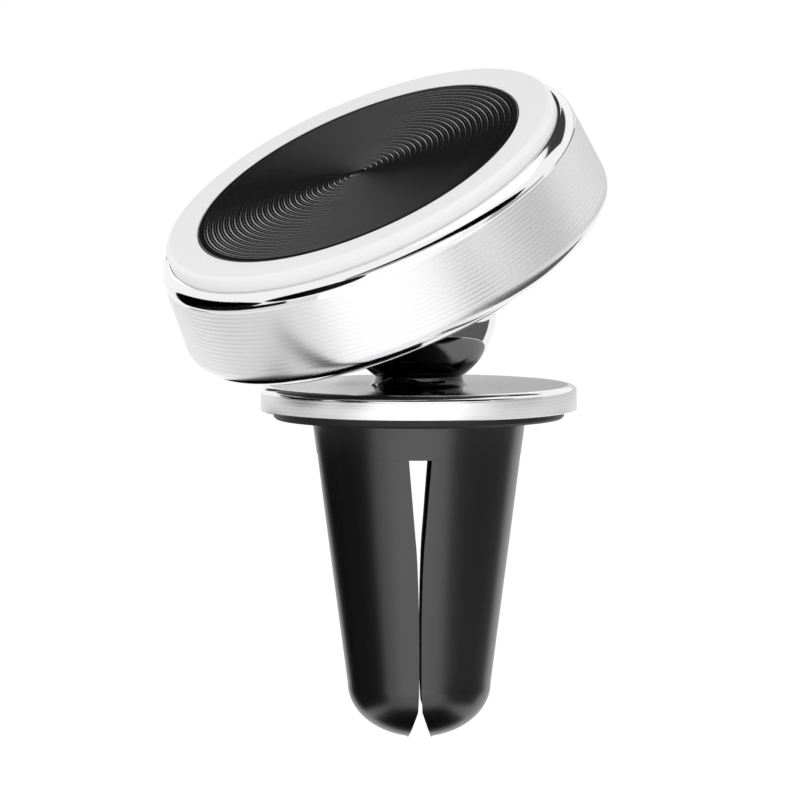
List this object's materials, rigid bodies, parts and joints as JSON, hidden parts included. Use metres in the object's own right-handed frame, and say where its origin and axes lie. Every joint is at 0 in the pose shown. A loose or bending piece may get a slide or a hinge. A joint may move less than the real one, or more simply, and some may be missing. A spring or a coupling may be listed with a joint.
{
  "type": "car phone mount",
  "caption": "Magnetic phone mount for an air vent: a round magnetic head on a polished ball, over a flanged clip with a slit, tapered silicone fork.",
  "frame": {"origin": "on the vent clip's axis, at the underside of the clip's plate, where the fork starts and the vent grille's face comes", "axes": "+Z along the clip's axis from the fork to the ball; the fork points along -Z into the vent; +X and +Y lie along the fork's two slits"},
  "size_m": [0.0396, 0.0401, 0.0595],
  "materials": {
    "moulded_black": "fine moulded matt",
    "flange_metal": "turned rings on top, polished shoulder, fine brushed side",
    "silicone_black": "soft satin silicone",
    "polished_steel": "mirror polished",
    "plated_steel": "zinc plated",
    "ring_nylon": "smooth",
    "plated_cup": "nickel plated",
    "magnet_nickel": "nickel plated",
    "head_metal": "fine turned lines on the side, polished shoulder",
    "clear_tape": "translucent adhesive",
    "silicone_white": "smooth satin silicone",
    "spun_black": "black anodised, spun concentric grooves",
    "core_nylon": "moulded"
  },
  "bodies": {
    "clip": {"clip_base": "moulded_black", "flange_disc": "flange_metal", "sleeve_collar": "silicone_black"},
    "ball": {"ball_stud": "polished_steel", "stud_washer": "plated_steel", "stud_nut": "plated_steel"},
    "seat": {"friction_ring": "ring_nylon"},
    "head": {"socket_cup": "plated_cup", "socket_magnet": "magnet_nickel", "head_shell": "head_metal", "inner_frame": "moulded_black", "yoke_plate": "plated_steel", "magnet_tray": "moulded_black", "pad_tape": "clear_tape", "face_pad": "silicone_white", "disc_tape": "clear_tape", "face_disc": "spun_black", "face_magnet_1": "magnet_nickel", "face_magnet_2": "magnet_nickel", "face_magnet_3": "magnet_nickel", "face_magnet_4": "magnet_nickel", "face_magnet_5": "magnet_nickel", "face_magnet_6": "magnet_nickel"},
    "finger_1": {"finger_core_1": "core_nylon", "finger_sleeve_1": "silicone_black"},
    "finger_2": {"finger_core_2": "core_nylon", "finger_sleeve_2": "silicone_black"},
    "finger_3": {"finger_core_3": "core_nylon", "finger_sleeve_3": "silicone_black"},
    "finger_4": {"finger_core_4": "core_nylon", "finger_sleeve_4": "silicone_black"}
  },
  "joints": [
    {"name": "ball_swivel", "type": "hinge", "parent": "clip", "child": "ball", "pos_m": [0, 0, 0.00961], "axis": [0, 0, 1], "continuous": true},
    {"name": "head_tilt", "type": "hinge", "parent": "ball", "child": "seat", "pos_m": [0, 0, 0.00961], "axis": [0.617, -0.7869, 0], "range_deg": [-66, 9]},
    {"name": "head_spin", "type": "hinge", "parent": "seat", "child": "head", "pos_m": [0, 0, 0.00961], "axis": [-0.3803, -0.2982, 0.8755], "continuous": true},
    {"name": "finger_flex_1", "type": "hinge", "parent": "clip", "child": "finger_1", "pos_m": [0.00608, 0.00608, -0.00332], "axis": [0.7071, -0.7071, 0], "range_deg": [0, 7], "stiffness_Nm_per_rad": 0.25},
    {"name": "finger_flex_2", "type": "hinge", "parent": "clip", "child": "finger_2", "pos_m": [-0.00608, 0.00608, -0.00332], "axis": [0.7071, 0.7071, 0], "range_deg": [0, 7], "stiffness_Nm_per_rad": 0.25},
    {"name": "finger_flex_3", "type": "hinge", "parent": "clip", "child": "finger_3", "pos_m": [-0.00608, -0.00608, -0.00332], "axis": [-0.7071, 0.7071, 0], "range_deg": [0, 7], "stiffness_Nm_per_rad": 0.25},
    {"name": "finger_flex_4", "type": "hinge", "parent": "clip", "child": "finger_4", "pos_m": [0.00608, -0.00608, -0.00332], "axis": [-0.7071, -0.7071, 0], "range_deg": [0, 7], "stiffness_Nm_per_rad": 0.25}
  ]
}
